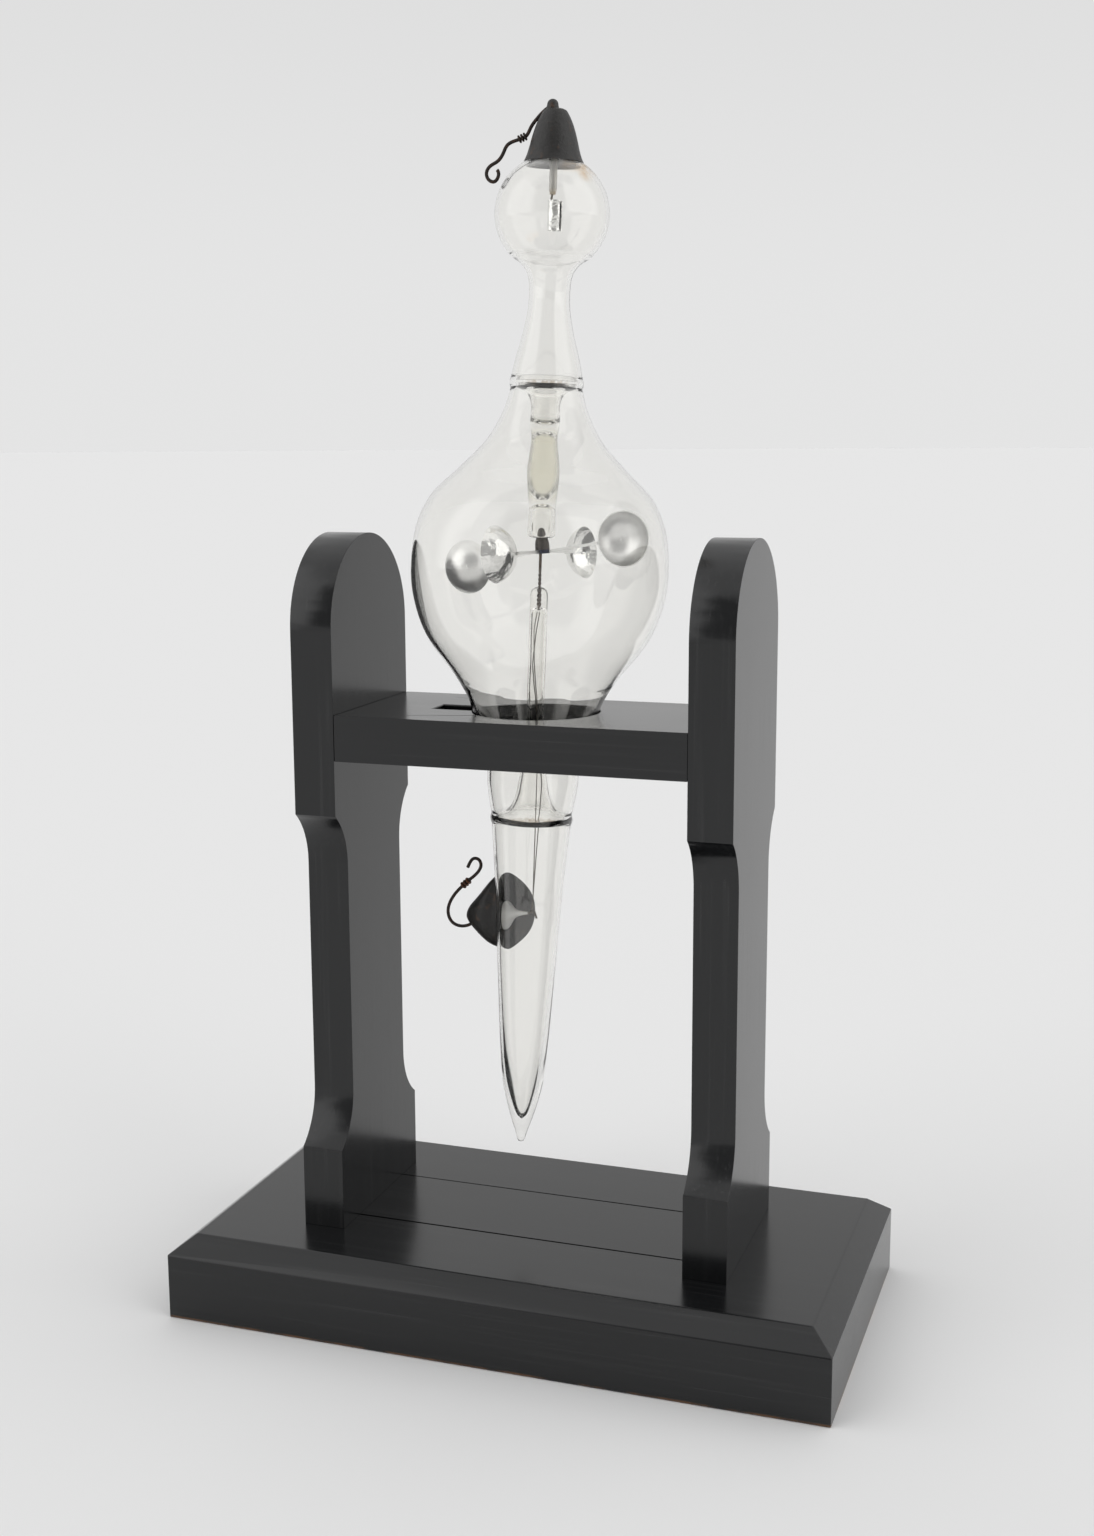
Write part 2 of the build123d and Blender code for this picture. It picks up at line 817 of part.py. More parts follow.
def arm():
    """Strip from the collar to the cup's rim, folded round the dome's back, its tab through the wall."""
    dome_radius = (cup_radius**2 + cup_depth**2) / (2 * cup_depth)
    centre = Pos(arm_radius, cup_depth - dome_radius, 0)
    inside = dome_radius + cup_gap
    outside = inside + strip_thickness
    root = collar_radius + fuse_gap
    reach = arm_radius - sqrt(inside**2 - (dome_radius - cup_depth) ** 2)
    run = Pos((root + reach) / 2, 0, 0) * Box(reach - root, strip_thickness, strip_height)
    band = centre * (Cylinder(outside, strip_height) - Cylinder(inside, 2 * strip_height))
    tab_edge = arm_radius - tab_inset + strip_thickness / 2
    back = Pos(tab_edge, -strip_thickness / 2, 0) * Box(
        2 * cup_radius, 4 * cup_depth, 2 * strip_height, align=(Align.MAX, Align.MIN, Align.CENTER)
    )
    wall_at = sqrt(dome_radius**2 - tab_inset**2) - dome_radius + cup_depth
    tab = Pos(arm_radius - tab_inset, wall_at + cup_gap, 0) * Box(
        strip_thickness, 3.2 * cup_wall, strip_height
    )
    return run + (band & back) + tab


def on_arm(index, piece):
    """Piece of one arm, bent at the collar and swung to its azimuth."""
    bend = Pos(collar_radius, 0, 0) * Rot(0, -arm_rises[index], 0) * Pos(-collar_radius, 0, 0)
    level = cap_over_tip - cap_height - collar_thickness / 2
    return Pos(0, 0, level) * Rot(0, 0, first_arm_azimuth + 90 * index) * bend * piece


# Assembly


stand = {
    "base_board": base_board,
    "crossbar": crossbar,
    "base_screws": base_screws,
}

vessel = {
    "main_bulb": main_bulb,
    "tail_tube": tail_tube,
    "top_bulb": top_bulb,
    "lower_stem": lower_stem,
    "guard_tube": guard_tube,
    "needle": needle,
    "needle_twist": needle_twist,
    "lead_wire": lead_wire,
    "seal_pin": seal_pin,
    "enamel_bead": enamel_bead,
    "lower_wax": lower_wax,
    "lower_terminal_wire": lower_terminal_wire,
    "lower_hook": lower_hook,
    "lower_wire_wrap": lower_wire_wrap,
    "top_lead_wire": top_lead_wire,
    "top_glass_stem": top_glass_stem,
    "top_electrode": top_electrode,
    "top_wax": top_wax,
    "top_terminal_wire": top_terminal_wire,
    "top_hook": top_hook,
    "top_wire_wrap": top_wire_wrap,
}


def mill_pieces():
    """Pieces of the mill in their own level frame."""
    pieces = {"pivot_cap": pivot_cap(), "hub_collar": hub_collar()}
    for index in range(len(arm_rises)):
        pieces[f"arm_{index + 1}"] = on_arm(index, arm())
        pieces[f"cup_{index + 1}"] = on_arm(index, Pos(arm_radius, 0, 0) * cup())
    return pieces


def all_pieces():
    """Every piece by node name, in the frame of the stand."""
    pieces = {name: make() for name, make in stand.items()}
    pieces["left_upright"] = upright(-1)
    pieces["right_upright"] = upright(1)
    for name, make in vessel.items():
        pieces[name] = vessel_place * make()
    pieces["lower_seal_ring"] = vessel_place * seal_ring(lower_ring_at, lower_ring_radius, lower_ring_bore)
    pieces["upper_seal_ring"] = vessel_place * seal_ring(upper_ring_at, upper_ring_radius, upper_ring_bore)
    tip = (vessel_place * Pos(0, 0, needle_tip_at)).position
    mill_place = Location(tip) * Rot(0, -mill_tilt, 0)
    for name, piece in mill_pieces().items():
        pieces[name] = mill_place * piece
    print("mill turns about the upright line through", tip)
    return pieces


os.makedirs("parts", exist_ok=True)
for node, solid in all_pieces().items():
    export_step(solid, f"parts/{node}.step")
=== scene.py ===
# %% [markdown]
# An electric light mill on its black stand.
# A blown glass vessel stands in the keyholed bar of a small wooden stand. Four thin aluminium cups
# turn on a needle inside it, and two wax-sealed wires lead into the glass. The solids of every
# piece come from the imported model. This file gives them their finish, and makes the fused glass
# again, because its one thin skin has to bend the light as a blown wall does.

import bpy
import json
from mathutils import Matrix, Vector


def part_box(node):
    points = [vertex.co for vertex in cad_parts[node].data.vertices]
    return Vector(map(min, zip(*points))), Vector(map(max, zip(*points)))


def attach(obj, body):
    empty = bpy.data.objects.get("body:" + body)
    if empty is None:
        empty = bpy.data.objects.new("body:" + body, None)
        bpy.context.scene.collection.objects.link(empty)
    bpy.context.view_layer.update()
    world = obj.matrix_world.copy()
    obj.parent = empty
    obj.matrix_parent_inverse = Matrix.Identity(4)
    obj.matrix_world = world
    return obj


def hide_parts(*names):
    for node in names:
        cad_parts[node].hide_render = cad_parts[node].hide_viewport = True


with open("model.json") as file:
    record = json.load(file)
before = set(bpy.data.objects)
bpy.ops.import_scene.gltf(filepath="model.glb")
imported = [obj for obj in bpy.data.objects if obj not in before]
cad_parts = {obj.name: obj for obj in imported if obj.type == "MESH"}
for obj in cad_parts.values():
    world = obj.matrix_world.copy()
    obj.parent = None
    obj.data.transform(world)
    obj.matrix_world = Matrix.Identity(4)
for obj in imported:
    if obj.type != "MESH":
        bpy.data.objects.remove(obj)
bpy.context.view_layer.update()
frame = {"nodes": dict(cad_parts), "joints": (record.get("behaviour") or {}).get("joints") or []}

# %% Other tools used below
import json
from math import atan2, cos, degrees, pi, radians, sin, sqrt

import bpy
import numpy as np
from mathutils import Matrix, Vector, noise

mm = 0.001
nodes = frame["nodes"]
print(len(nodes), "solids to dress")

# %% [markdown]
# The camera.
# The stand was photographed from the front, a little to the right and slightly from above. A
# camera could be pointed by hand, but then the solids and the photograph would never quite lie over
# each other. Its place and turn were worked out from the corners of the boards instead. The matrix
# is built from the three turns, because a camera looks along its own minus Z with Y up.

# %% Camera
camera_place = Vector((180.5, -514.1, 265.5)) * mm
camera_turn = radians(19.02)
camera_dip = radians(10.24)
camera_roll = radians(-0.26)
camera_lens = 43.5
film_width = 36
nearest_seen, farthest_seen = 0.01, 100


def photo_camera():
    """Camera at the photograph's viewpoint."""
    back = Vector((
        sin(camera_turn) * cos(camera_dip), -cos(camera_turn) * cos(camera_dip), sin(camera_dip),
    ))
    level = Vector((cos(camera_turn), sin(camera_turn), 0))
    raised = back.cross(level)
    right = cos(camera_roll) * level + sin(camera_roll) * raised
    up = -sin(camera_roll) * level + cos(camera_roll) * raised
    camera = bpy.data.objects.new("camera", bpy.data.cameras.new("camera"))
    bpy.context.scene.collection.objects.link(camera)
    turn = Matrix((right, up, back)).transposed().to_4x4()
    camera.matrix_world = Matrix.Translation(camera_place) @ turn
    camera.data.lens = camera_lens
    camera.data.sensor_width = film_width
    camera.data.clip_start = nearest_seen
    camera.data.clip_end = farthest_seen
    return camera


bpy.context.scene.camera = photo_camera()
bpy.context.scene.view_settings.view_transform = "Standard"
print("camera stands", round(camera_place.length, 3), "m from the base")

# %% [markdown]
# Sums in a shader.
# A finish is a web of nodes, and most of them are sums. They could be wired one by one, but the
# sum is then hard to read. This class wraps one socket, so that 1 - mask or streaks * 0.2 adds the
# Math nodes by itself. A colour or a vector goes through Vector Math, since a Math node would turn
# it grey. Every other node comes from the method node, which sets the node's own settings first.

# %% Sockets that can be added and multiplied


class Socket:
    """One output in a shader, with the usual signs for sums."""

    def __init__(self, tree, socket=None):
        self.tree = tree
        self.socket = socket

    def node(self, kind, settings=None, sockets=None, out=0):
        """Adds a node of a kind, with its settings and the values or links of its sockets."""
        made = self.tree.nodes.new("ShaderNode" + kind)
        for name, setting in (settings or {}).items():
            setattr(made, name, setting)
        for name, value in (sockets or {}).items():
            if isinstance(value, Socket):
                self.tree.links.new(value.socket, made.inputs[name])
            else:
                made.inputs[name].default_value = value
        return Socket(self.tree, made.outputs[out] if len(made.outputs) else None)

    def is_wide(self):
        """True for a colour or a vector."""
        return self.socket.type in ("VECTOR", "RGBA")

    def sum_of(self, operation, first, second):
        """Math on numbers, and Vector Math where one side is a colour or a vector."""
        kind, pair = "Math", [first, second]
        if any(isinstance(x, tuple) or (isinstance(x, Socket) and x.is_wide()) for x in pair):
            kind, pair = "VectorMath", [(x,) * 3 if isinstance(x, (int, float)) else x for x in pair]
        return self.node(kind, {"operation": operation}, dict(enumerate(pair)))

    def __add__(self, other):
        return self.sum_of("ADD", self, other)

    def __radd__(self, other):
        return self.sum_of("ADD", other, self)

    def __sub__(self, other):
        return self.sum_of("SUBTRACT", self, other)

    def __rsub__(self, other):
        return self.sum_of("SUBTRACT", other, self)

    def __mul__(self, other):
        return self.sum_of("MULTIPLY", self, other)

    def __rmul__(self, other):
        return self.sum_of("MULTIPLY", other, self)

    def __truediv__(self, other):
        return self.sum_of("DIVIDE", self, other)

    def __rtruediv__(self, other):
        return self.sum_of("DIVIDE", other, self)

    def root(self):
        return self.node("Math", {"operation": "SQRT"}, {0: self})

    def part(self, letter):
        """X, Y or Z of a vector."""
        return self.node("SeparateXYZ", {}, {0: self}, letter)

    def step(self, low, high):
        """0 below low and 1 above high, with a soft change between them."""
        settings = {"interpolation_type": "SMOOTHSTEP"}
        return self.node("MapRange", settings, {"Value": self, "From Min": low, "From Max": high})

    def near(self, middle, half_width, softness):
        """1 within half a width of a value, and 0 a softness further out."""
        away = self.node("Math", {"operation": "ABSOLUTE"}, {0: self - middle})
        return 1 - away.step(half_width, half_width + softness)

    def between(self, first, second):
        """The first colour where this mask is 0, and the second where it is 1."""
        sockets = {"Factor": self, "A": first, "B": second}
        return self.node("Mix", {"data_type": "RGBA"}, sockets, 2)

    def speckle(self, scale, detail=2.0, roughness=0.5):
        """Cloudy noise from 0 to 1 at this place, with so many lumps to the metre."""
        sockets = {"Vector": self, "Scale": scale, "Detail": detail, "Roughness": roughness}
        return self.node("TexNoise", {}, sockets)

    def relief(self, height):
        """Bump that stands so many metres high where this value is 1."""
        return self.node("Bump", {}, {"Height": self, "Distance": height, "Strength": 1.0})


def finish(name, recipe):
    """Material whose recipe gives the main shader's sockets from the place on the surface."""
    material = bpy.data.materials.new(name)
    material.use_nodes = True
    material.node_tree.nodes.clear()
    place = Socket(material.node_tree).node("TexCoord", {}, {}, "Object")
    shader = place.node("BsdfPrincipled", {}, recipe(place))
    place.node("OutputMaterial", {}, {"Surface": shader})
    return material


def colour(red, green, blue):
    """A colour in the form that a socket takes."""
    return (red, green, blue, 1.0)


def grey(level):
    return colour(level, level, level)


print("sockets can be added and multiplied")

# %% [markdown]
# Floor and light.
# The photograph was made on a white sweep, with a large soft light at each side of the camera and
# a darker room behind it. On a round neck of glass those two lights show as two upright streaks.
# Lamps would do, but near ones leave an edge on the floor. Lights that stand far away have none, so
# they are painted on the sky as brightness by direction. Two directions are compared by a cosine:
# it is 1 straight behind the camera, 0 at its sides and less than 0 beyond the stand.

# %% Light from the sky
backdrop_level = 0.78
side_light_level = 1.5
room_level = 0.3
ceiling_level = 1.0
side_lights_begin = (-0.35, -0.05)
room_edge_on_left = (0.64, 0.84)
room_edge_on_right = (0.80, 0.90)
left_to_right = (-0.05, 0.05)
ceiling_edge = (0.72, 0.9)
backdrop_fade = (0.06, 0.26)
backdrop_fade_depth = 0.06
camera_side = (sin(camera_turn), -cos(camera_turn))


def studio_sky():
    """Backdrop behind, two soft lights beside the camera and a dim room behind it."""
    world = bpy.data.worlds.new("studio")
    world.use_nodes = True
    world.node_tree.nodes.clear()
    way = Socket(world.node_tree).node("TexCoord", {}, {}, "Generated")
    x, y, z = way.part("X"), way.part("Y"), way.part("Z")
    level = (x * x + y * y).root() + 0.001
    towards = (x * camera_side[0] + y * camera_side[1]) / level
    lit = towards.step(*side_lights_begin)
    rightwards = (x * cos(camera_turn) + y * sin(camera_turn)).step(*left_to_right)
    room = towards.step(*room_edge_on_left) * (1 - rightwards)
    room = room + towards.step(*room_edge_on_right) * rightwards
    light = backdrop_level + lit * (side_light_level - backdrop_level)
    light = light + room * (room_level - side_light_level)
    above = z.step(*ceiling_edge)
    light = light * (1 - above) + above * ceiling_level
    seen = way.node("LightPath", {}, {}, "Is Camera Ray")
    shaded_top = 1 - z.step(*backdrop_fade) * backdrop_fade_depth
    strength = light * (1 - seen) + seen * shaded_top * backdrop_level
    sky = way.node("Background", {}, {"Color": grey(1.0), "Strength": strength})
    way.node("OutputWorld", {}, {"Surface": sky})
    bpy.context.scene.world = world


studio_sky()
print("side lights are", round(side_light_level / backdrop_level, 2), "times the backdrop")

# %% Floor
floor_reach = 30.0
floor_corners = 96
floor_below_base = 0.0001
floor_albedo = 0.83


def paper(place):
    return {"Base Color": grey(floor_albedo), "Roughness": 1.0, "Specular IOR Level": 0.0}


def pale_floor():
    """Wide flat disc just under the base."""
    turns = [2 * pi * i / floor_corners for i in range(floor_corners)]
    points = [(floor_reach * cos(a), floor_reach * sin(a), -floor_below_base) for a in turns]
    mesh = bpy.data.meshes.new("floor")
    mesh.from_pydata(points, [], [list(range(floor_corners))])
    floor = bpy.data.objects.new("floor", mesh)
    bpy.context.scene.collection.objects.link(floor)
    mesh.materials.append(finish("paper", paper))
    return floor


pale_floor()
print("floor is", 2 * floor_reach, "m wide")

# %% [markdown]
# Where the glass stands.
# The vessel leans a little to the right in its seat. Its axis is the way it lifts out of the bar,
# and it passes through the needle's tip, on which the mill turns. The lean could be typed here
# again, but the two joints already hold it, so they give the vessel's own frame: its origin is
# where the axis meets the bar's top face, and its Z runs up the axis.

# %% Frame of the vessel
joints = {joint["name"]: joint for joint in frame["joints"]}
lift = Vector(joints["vessel_lift"]["axis"])
needle_tip = Vector(joints["mill_spin"]["pos_m"])
bar_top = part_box("crossbar")[1].z
lean = atan2(lift.x, lift.z)
seat = needle_tip - lift * ((needle_tip.z - bar_top) / lift.z)
vessel_frame = Matrix.Translation(seat) @ Matrix.Rotation(lean, 4, "Y")
tip_height = (needle_tip - seat).length
print("the vessel leans", round(degrees(lean), 2), "degrees, and its tip is", round(tip_height, 4), "m up")

# %% [markdown]
# Smooth lines and turned skins.
# Blown glass is drawn by its outline, as on a glassblower's card. A few stations of radius and
# height, in mm, are enough when a smooth line is run through them. A Screw modifier could turn that
# line, but the wall has to wander a little all round, so the points are worked out here. The skin
# has an inside and an outside, as glass needs to bend light rightly.

# %% Helpers for outlines
def flowing(stations, spacing):
    """Points on a smooth line through the stations, about one spacing apart."""
    points = np.array(stations, float)
    padded = np.vstack([2 * points[0] - points[1], points, 2 * points[-1] - points[-2]])
    made = [points[0]]
    for a, b, c, d in zip(padded, padded[1:], padded[2:], padded[3:]):
        t1 = np.linalg.norm(b - a) ** 0.5
        t2 = t1 + np.linalg.norm(c - b) ** 0.5
        t3 = t2 + np.linalg.norm(d - c) ** 0.5
        count = max(1, round(np.linalg.norm(c - b) / spacing))
        for t in np.linspace(t1, t2, count + 1)[1:]:
            ab = a + (b - a) * t / t1
            bc = b + (c - b) * (t - t1) / (t2 - t1)
            cd = c + (d - c) * (t - t2) / (t3 - t2)
            abc = ab + (bc - ab) * t / t2
            bcd = bc + (cd - bc) * (t - t1) / (t3 - t1)
            made.append(abc + (bcd - abc) * (t - t1) / (t2 - t1))
    return [tuple(float(v) for v in point) for point in made]


def inside(profile, wall):
    """The profile moved inwards by a wall."""
    points = np.array(profile)
    along = np.gradient(points, axis=0)
    along /= np.linalg.norm(along, axis=1)[:, None]
    moved = points + np.column_stack([-along[:, 1], along[:, 0]]) * wall
    return [tuple(float(v) for v in point) for point in moved]


print("a line through three stations has", len(flowing([(0, 0), (5, 5), (5, 10)], 1.0)), "points")

# %% Helpers for turned skins
smallest_radius = 1e-6


def turned(profile, segments, closed, shape):
    """Vertices and faces of a skin turned from (radius, height) in mm. A radius of 0 makes a pole."""
    points, faces, rows = [], [], []
    for radius, height in profile:
        if radius < smallest_radius:
            rows.append([len(points)] * segments)
            points.append((0, 0, height * mm))
            continue
        rows.append(list(range(len(points), len(points) + segments)))
        for i in range(segments):
            turn = 2 * pi * i / segments
            r, h = shape(radius, height, turn)
            points.append((r * mm * cos(turn), r * mm * sin(turn), h * mm))
    pairs = list(zip(rows, rows[1:]))
    if closed:
        pairs.append((rows[-1], rows[0]))
    for low, high in pairs:
        for i in range(segments):
            j = (i + 1) % segments
            face = list(dict.fromkeys([low[i], low[j], high[j], high[i]]))
            if len(face) > 2:
                faces.append(face)
    return points, faces


def new_piece(name, points, faces, body):
    """Smooth piece in the vessel's frame that rides on a body."""
    mesh = bpy.data.meshes.new(name)
    mesh.from_pydata(points, [], faces)
    mesh.polygons.foreach_set("use_smooth", [True] * len(mesh.polygons))
    piece = bpy.data.objects.new(name, mesh)
    bpy.context.scene.collection.objects.link(piece)
    piece.matrix_world = vessel_frame
    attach(piece, body)
    return piece


print("skins can be turned about the vessel's axis")

# %% [markdown]
# The glass finish.
# Old soda glass is clear with a faint yellow-grey cast, which shows where much of it lies one wall
# behind another. It could be made see-through with alpha, but then no edge would darken. The main
# shader's transmission bends the light, and the base colour is what one wall lets through. Where
# the tubes were fused brown flux is left, and beside the wax some of it has run. Those places only
# change the colour and the roughness, so they bake well.

# %% Glass
wall_tint = colour(0.984, 0.980, 0.962)
glass_ior = 1.5
flux_brown = colour(0.45, 0.33, 0.2)
residue_brown = colour(0.75, 0.5, 0.24)
lower_ring_at, upper_ring_at = -32.7, 95.1
flux_above_lower_ring = 1.2
flux_towards_front = (7.5, 10.5)
residue_heights = (151.5, 154.5)
residue_to_right = (4.0, 7.5)


def clear_glass(place):
    height = place.part("Z") / mm
    facing = (place.part("X") * camera_side[0] + place.part("Y") * camera_side[1]) / mm
    blotch = place.speckle(900.0, 3.0, 0.6).step(0.4, 0.62)
    bands = height.near(lower_ring_at + flux_above_lower_ring, 0.5, 0.6)
    bands = bands + height.near(upper_ring_at, 0.6, 0.6)
    flux = bands * blotch * facing.step(*flux_towards_front)
    drips = place.speckle(400.0, 3.0).step(0.3, 0.6)
    residue = height.step(*residue_heights) * (place.part("X") / mm).step(*residue_to_right) * drips
    fluxed = (flux * 0.75).between(wall_tint, flux_brown)
    return {
        "Base Color": (residue * 0.8).between(fluxed, residue_brown),
        "Roughness": flux * 0.2 + residue * 0.15,
        "IOR": glass_ior,
        "Transmission Weight": 1.0,
    }


glass = finish("clear_glass", clear_glass)
print("glass bends light by", glass_ior)

# %% [markdown]
# The envelope.
# Tail, rings, bulb, neck and globe were blown apart and then fused in the flame, so what is left is
# one wall of glass from the drawn-out point to the wax. Five pieces end to end would each show a
# false inner edge, so it is turned as one closed skin, up the outside and down the inside. The wall
# keeps one thickness along the bulb, but the tail's wall grows thick towards its point, as it does
# when a tube is pulled off.

# %% Outline of the envelope
glass_wall = 1.1
ring_half = 1.5
ring_bulge, ring_bulge_inside = 0.35, -0.2
ring_points = 7
lower_ring_radius, lower_ring_bore = 12.05, 10.95
upper_ring_radius, upper_ring_bore = 10.3, 9.2
globe_at, globe_radius = 141.9, 16.3
globe_points = 60
neck_join_at, inner_join_at, inner_neck_end = 129.9, 131.3, 130.2
seat_radius = 18.77
rod_radius, rod_clearance = 1.1, 0.05
tail_spacing, wall_spacing = 1.2, 1.0

tail_outside = [
    (0.0, -135.6), (0.9, -135.1), (1.9, -131.9), (3.1, -128.5), (6.1, -117.0), (7.2, -106.1),
    (8.65, -82.4), (10.4, -52.3), (11.9, lower_ring_at - ring_half - 0.3),
]
bulb_outside = [
    (12.1, lower_ring_at + ring_half), (12.8, -27.6), (13.6, -22.0), (13.9, -15.0), (16.5, -6.0),
    (seat_radius, 0.0), (20.3, 4.0), (24.2, 10.3), (33.0, 22.4), (36.9, 34.0), (37.6, 43.0),
    (36.3, 54.0), (32.3, 62.7), (24.5, 70.6), (16.7, 79.0), (12.0, 87.8),
    (upper_ring_radius, upper_ring_at - ring_half),
]
neck_outside = [
    (upper_ring_radius, upper_ring_at + ring_half), (9.2, 101.7), (7.1, 109.7), (5.9, 117.1),
    (6.0, 123.2), (6.7, 125.9), (8.4, 128.2), (11.03, neck_join_at),
]
tail_inside = [
    (0.0, -127.2), (0.9, -126.0), (3.3, -118.0), (5.2, -108.2), (7.55, -82.4), (9.3, -52.3),
    (10.8, lower_ring_at - ring_half - 0.3),
]


def ring_swell(middle, radius, bulge):
    """Rounded swelling of a fused ring."""
    steps = np.linspace(-1, 1, ring_points)
    return [(radius + bulge * cos(step * pi / 2), middle + ring_half * step) for step in steps]


def globe_arc(radius, from_height):
    """Points up the side of the globe, from a height on its lower half to the rod at its top."""
    below = from_height - globe_at
    start = atan2(below, sqrt(radius**2 - below**2))
    end = atan2(sqrt(radius**2 - rod_radius**2), rod_radius + rod_clearance)
    angles = np.linspace(start, end, globe_points)
    return [(float(radius * cos(a)), float(globe_at + radius * sin(a))) for a in angles]


def envelope_profile():
    """The outline up the outside of the wall and down its inside."""
    outer_bulb, outer_neck = flowing(bulb_outside, wall_spacing), flowing(neck_outside, wall_spacing)
    outside = flowing(tail_outside, tail_spacing)
    outside += ring_swell(lower_ring_at, lower_ring_radius, ring_bulge) + outer_bulb[1:]
    outside += ring_swell(upper_ring_at, upper_ring_radius, ring_bulge)[1:] + outer_neck[1:]
    outside += globe_arc(globe_radius, neck_join_at)[1:]
    inner_neck = [p for p in inside(outer_neck, glass_wall)[1:-1] if p[1] < inner_neck_end]
    within = flowing(tail_inside, tail_spacing)
    within += ring_swell(lower_ring_at, lower_ring_bore, ring_bulge_inside)
    within += inside(outer_bulb, glass_wall)[1:-1]
    within += ring_swell(upper_ring_at, upper_ring_bore, ring_bulge_inside) + inner_neck
    within += globe_arc(globe_radius - glass_wall, inner_join_at)
    return outside + within[::-1]


print("the outline has", len(envelope_profile()), "points")

# %% Envelope
envelope_segments = 256
wander_depth = 0.25
wander_full_radius = 10
firm_seat_half = 8
front_of_ring = camera_turn - pi / 2
ring_reach = 12
lower_ring_slant, upper_ring_slant = 1.6, 0.7


def hand_blown(radius, height, turn):
    """Small unevenness of the blown wall, and the two rings that were not fused quite square."""
    spot = Vector((cos(turn) * 1.5, sin(turn) * 1.5, height * 0.02))
    wander = noise.noise(spot) * wander_depth
    near_lower = max(0.0, 1 - abs(height - lower_ring_at) / ring_reach)
    near_upper = max(0.0, 1 - abs(height - upper_ring_at) / ring_reach)
    slant = lower_ring_slant * near_lower + upper_ring_slant * near_upper
    loose = 0.0 if abs(height) < firm_seat_half else min(1.0, radius / wander_full_radius)
    return radius + wander * loose, height + cos(turn - front_of_ring) * slant


envelope_skin = turned(envelope_profile(), envelope_segments, False, hand_blown)
envelope = new_piece("glass_envelope", *envelope_skin, "vessel")
envelope.data.materials.append(glass)
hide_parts("main_bulb", "tail_tube", "top_bulb", "lower_seal_ring", "upper_seal_ring")
print("envelope has", len(envelope.data.polygons), "faces")

# %% [markdown]
# Inner tubes.
# Two thinner tubes are fused to the wall at the rings. The lower one rises to a solid dome that
# holds the needle. The upper one hangs over the mill and keeps it on its point when the vessel is
# carried. Its middle was closed in the flame, and is a little frosted and yellow. That closed
# chamber could be cut with a Boolean, but a second skin that faces inwards does the same cleanly.

# %% Lower inner tube
stem_segments = 64
tube_spacing, dome_spacing = 1.0, 0.4
tube_wander_depth = 0.06

stem_outside = [
    (10.9, -31.9), (7.0, -29.7), (5.2, -26.0), (4.2, -20.7), (2.8, -10.7), (2.6, 1.3), (2.6, 34.2),
]
stem_inside = [
    (10.9, -32.9), (6.6, -30.8), (4.3, -26.5), (3.3, -20.7), (2.0, -10.7), (1.8, 1.3), (1.8, 29.2),
]
stem_dome = [stem_outside[-1], (2.25, 35.6), (1.3, 36.5), (0.0, 36.8)]
stem_hollow_top = [stem_inside[-1], (1.3, 30.5), (0.0, 31.0)]


def uneven_tube(radius, height, turn):
    """Slight waviness of a hand-drawn tube."""
    spot = Vector((cos(turn), sin(turn), height * 0.12))
    return radius + tube_wander_depth * noise.noise(spot), height


stem_profile = flowing(stem_outside, tube_spacing) + flowing(stem_dome, dome_spacing)[1:]
stem_hollow = flowing(stem_inside, tube_spacing) + flowing(stem_hollow_top, dome_spacing)[1:]
stem_skin = turned(stem_profile + stem_hollow[::-1], stem_segments, True, uneven_tube)
stem = new_piece("inner_stem", *stem_skin, "vessel")
stem.data.materials.append(glass)
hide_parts("lower_stem")
print("lower tube has", len(stem.data.polygons), "faces")

# %% Upper inner tube
guard_segments = 96
guard_spacing, bore_spacing = 0.8, 0.6

guard_outside = [
    (2.7, 51.6), (3.3, 51.2), (3.95, 51.7), (3.95, 56.0), (3.95, 60.0), (4.7, 69.2), (3.75, 79.2),
    (4.3, 83.6), (4.2, 89.0), (5.4, 91.8), (8.8, 94.3),
]
guard_bore = [(8.8, 95.3), (5.0, 93.5), (3.4, 89.5), (3.4, 84.6), (1.2, 83.2), (0.0, 83.0)]
guard_mouth = [(0.0, 61.4), (1.4, 61.0), (2.5, 59.6), (2.7, 58.6), guard_outside[0]]
guard_chamber = [
    (0.0, 62.4), (0.9, 62.4), (2.85, 64.6), (3.75, 67.6), (3.75, 71.0), (3.25, 76.0), (2.75, 80.0),
    (1.0, 81.6), (0.0, 81.6),
]


def guard_tube_skin():
    """The tube's closed skin, and the skin of its chamber, which is turned from the top down."""
    outline = flowing(guard_outside, guard_spacing) + flowing(guard_bore, bore_spacing)
    outline += flowing(guard_mouth, bore_spacing)[:-1]
    points, faces = turned(outline, guard_segments, True, uneven_tube)
    chamber = flowing(guard_chamber, bore_spacing)[::-1]
    chamber_points, chamber_faces = turned(chamber, guard_segments, False, uneven_tube)
    shift = len(points)
    faces += [[corner + shift for corner in face] for face in chamber_faces]
    return points + chamber_points, faces


guard = new_piece("guard_tube_glass", *guard_tube_skin(), "vessel")
print("upper tube has", len(guard.data.polygons), "faces")

# %% Frosted middle of the upper tube
frost_tint = colour(0.965, 0.95, 0.87)
frost_at, frost_half, frost_softness = 72.0, 8.5, 3.0


def frosted_glass(place):
    frosted = (place.part("Z") / mm).near(frost_at, frost_half, frost_softness)
    return {
        "Base Color": frosted.between(wall_tint, frost_tint),
        "Roughness": frosted * 0.22,
        "IOR": glass_ior,
        "Transmission Weight": 1.0,
    }


guard.data.materials.append(finish("frosted_glass", frosted_glass))
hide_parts("guard_tube")
print("frost reaches", frost_half, "mm each way from", frost_at, "mm up")

